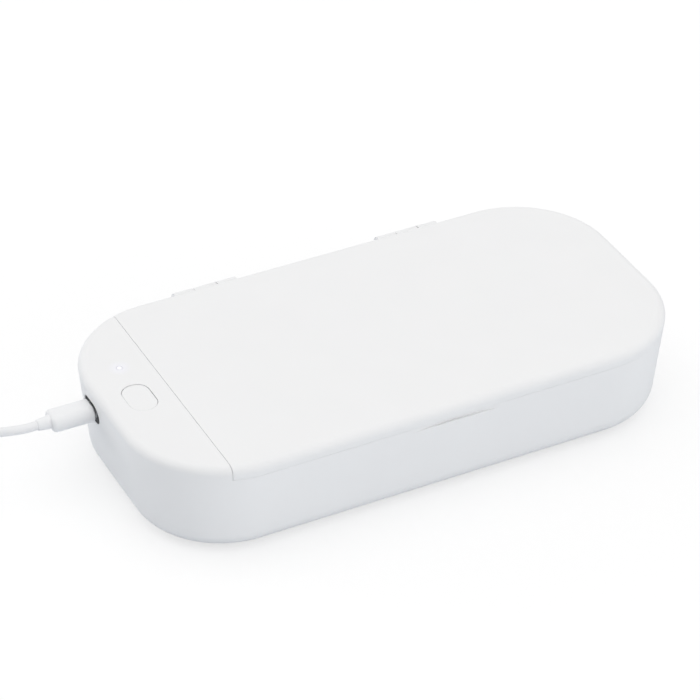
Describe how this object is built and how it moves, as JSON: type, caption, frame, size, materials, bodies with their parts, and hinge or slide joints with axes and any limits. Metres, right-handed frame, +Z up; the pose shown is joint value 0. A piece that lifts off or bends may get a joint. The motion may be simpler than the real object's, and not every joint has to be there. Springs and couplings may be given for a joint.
{
  "type": "uv sanitizer box",
  "caption": "White flat sanitizer box for a phone with a hinged lid, a mirrored lamp chamber, one push button and a plugged-in supply cord",
  "frame": {"origin": "under the middle of the case, hinges included, on the table plane", "axes": "X along the case with the button end at -X, Y from the finger notch to the hinges, Z up"},
  "size_m": [0.3512, 0.1234, 0.041],
  "materials": {
    "case_white": "satin",
    "liner_white": "matte",
    "mirror_lining": "polished",
    "screw_steel": "plated",
    "pin_steel": "drawn",
    "soft_grey": "matte",
    "board_green": "satin",
    "lamp_ceramic": "matte",
    "window_quartz": "clear",
    "pipe_clear": "frosted",
    "led_body": "satin",
    "magnet_steel": "plated",
    "part_black": "satin",
    "port_steel": "plated",
    "connector_ivory": "satin",
    "lead_white": "satin",
    "cord_white": "matte",
    "core_white": "satin",
    "tie_grey": "matte"
  },
  "bodies": {
    "base": {"base_shell": "case_white", "bottom_cover": "case_white", "cover_screws": "screw_steel", "rubber_feet": "soft_grey", "chamber_tray": "mirror_lining", "phone_ribs": "soft_grey", "lamp_board": "board_green", "lamp_board_screws": "screw_steel", "uv_lamps": "lamp_ceramic", "lamp_windows": "window_quartz", "lid_buffers": "soft_grey", "base_magnets": "magnet_steel", "control_board": "board_green", "board_screws": "screw_steel", "board_parts": "part_black", "lid_sensor": "part_black", "tact_switch": "part_black", "light_pipe": "pipe_clear", "status_led": "led_body", "port_ring": "part_black", "usb_socket": "port_steel", "socket_tongue": "part_black", "lamp_lead": "lead_white", "lead_connectors": "connector_ivory", "hinge_pins": "pin_steel"},
    "lid": {"lid_cover": "case_white", "lid_liner": "liner_white", "lid_reflector": "mirror_lining", "lid_screws": "screw_steel", "lid_magnets": "magnet_steel"},
    "button": {"button_cap": "case_white", "switch_plunger": "part_black"},
    "plug": {"plug_grip": "cord_white", "plug_shell": "port_steel", "plug_sleeve": "cord_white", "cord_run": "cord_white", "cord_coil": "cord_white", "coil_tie": "tie_grey", "far_plug_grip": "cord_white", "far_plug_shell": "port_steel", "far_plug_core": "core_white"}
  },
  "joints": [
    {"name": "lid_hinge", "type": "hinge", "parent": "base", "child": "lid", "pos_m": [0, 0.0547, 0.0355], "axis": [-1, 0, 0], "range_deg": [0, 105]},
    {"name": "button_press", "type": "slide", "parent": "base", "child": "button", "axis": [0, 0, -1], "range_m": [0, 0.0006], "stiffness_N_per_m": 2000, "springref_m": -0.0006},
    {"name": "plug_pull", "type": "slide", "parent": "base", "child": "plug", "axis": [-1, 0, 0], "range_m": [0, 0.008]}
  ]
}
